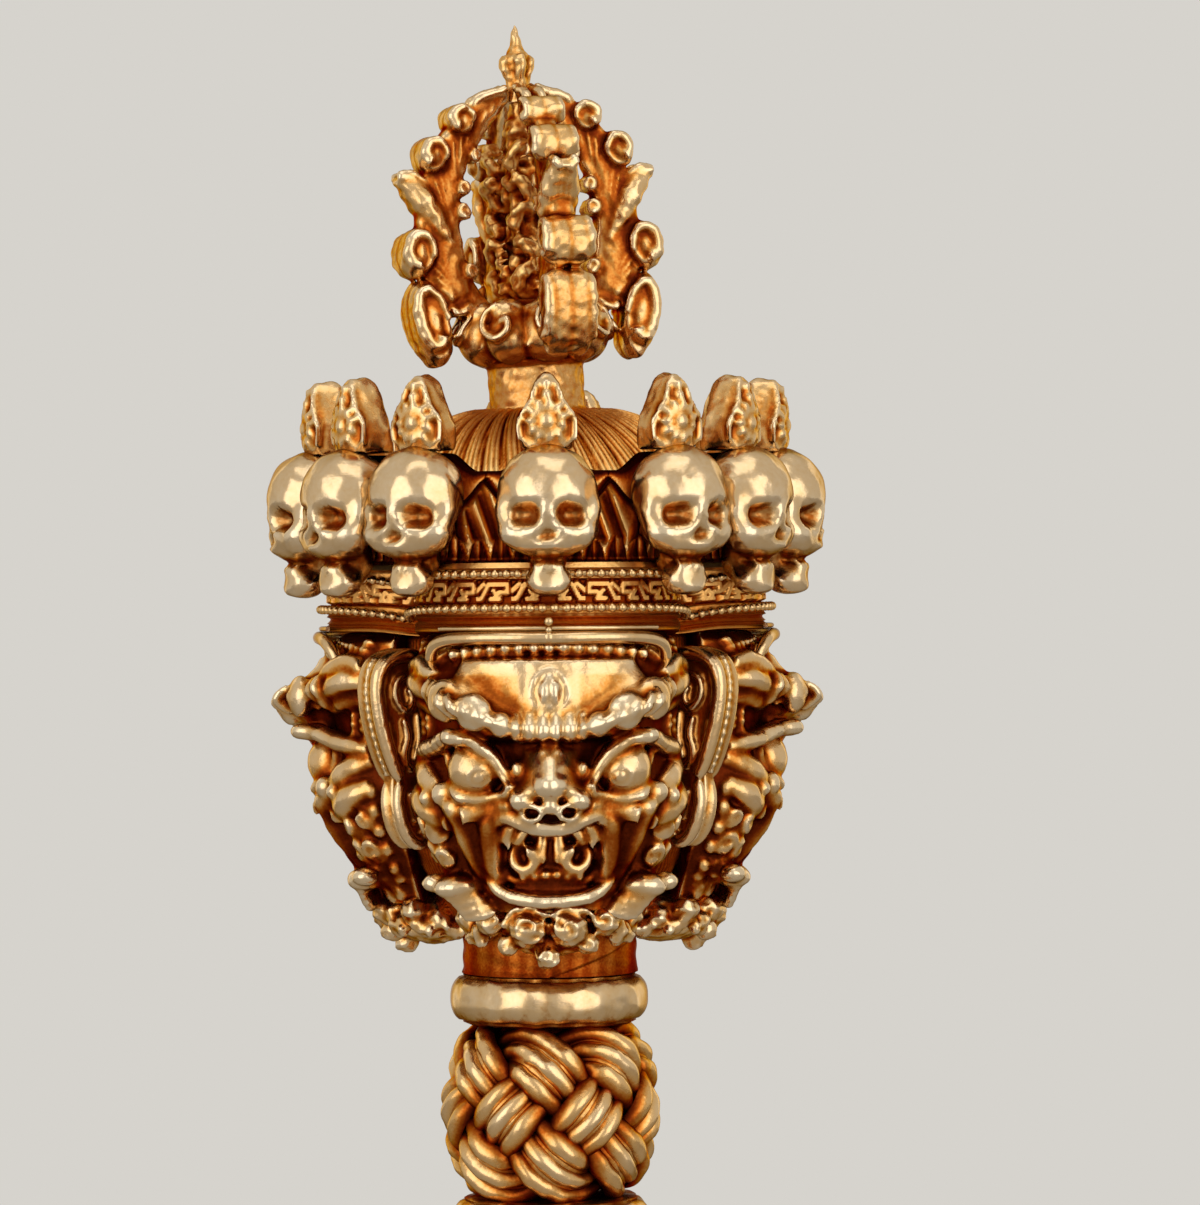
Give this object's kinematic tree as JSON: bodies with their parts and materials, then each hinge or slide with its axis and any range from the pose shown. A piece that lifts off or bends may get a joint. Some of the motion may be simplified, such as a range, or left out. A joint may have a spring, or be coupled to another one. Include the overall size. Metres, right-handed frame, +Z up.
{
  "type": "phurba",
  "caption": "Three-edged ritual dagger: makara head, globe knots and fluted grip under three wrathful masks, a skull crown and an open half-vajra finial.",
  "frame": {"origin": "the point of the blade", "axes": "+Z runs up the blade and hilt to the finial; -Y is the side of the front mask; +X is to the right seen from the front"},
  "size_m": [0.0558, 0.0561, 0.2797],
  "materials": {
    "gilt_bronze": "lost-wax cast bronze, fire gilt, worn pale on the high places and red-brown in the recesses",
    "burnished_gilt": "fire gilt and burnished, with fine scratches",
    "recessed_gilt": "gilt bronze left dark in sheltered places",
    "forged_iron": "forged and ground iron, dull grey"
  },
  "bodies": {
    "root": {"blade": "forged_iron", "blade_nagas": "gilt_bronze", "makara_head": "gilt_bronze", "makara_trunks": "gilt_bronze", "makara_eyes": "burnished_gilt", "lower_ring": "burnished_gilt", "lower_knot_core": "recessed_gilt", "lower_knot_strand": "gilt_bronze", "grip_lower_ring": "burnished_gilt", "grip": "gilt_bronze", "grip_upper_ring": "burnished_gilt", "upper_knot_core": "recessed_gilt", "upper_knot_strand": "gilt_bronze", "neck_ring": "burnished_gilt", "neck": "recessed_gilt", "head_core": "recessed_gilt", "face_front": "gilt_bronze", "face_left": "gilt_bronze", "face_right": "gilt_bronze", "ears_front": "gilt_bronze", "ears_left": "gilt_bronze", "ears_right": "gilt_bronze", "beard_front": "gilt_bronze", "beard_left": "gilt_bronze", "beard_right": "gilt_bronze", "forehead_bands": "burnished_gilt", "diadem": "recessed_gilt", "bead_wire_lower": "gilt_bronze", "bead_wire_upper": "gilt_bronze", "crown_wall_ring": "recessed_gilt", "skulls": "burnished_gilt", "jewels": "gilt_bronze", "hair_dome": "recessed_gilt", "finial_stem": "recessed_gilt", "lotus_base": "gilt_bronze", "prong_front": "gilt_bronze", "prong_right": "gilt_bronze", "prong_back": "gilt_bronze", "prong_left": "gilt_bronze", "centre_prong": "recessed_gilt", "finial_bud": "gilt_bronze"}
  },
  "joints": []
}
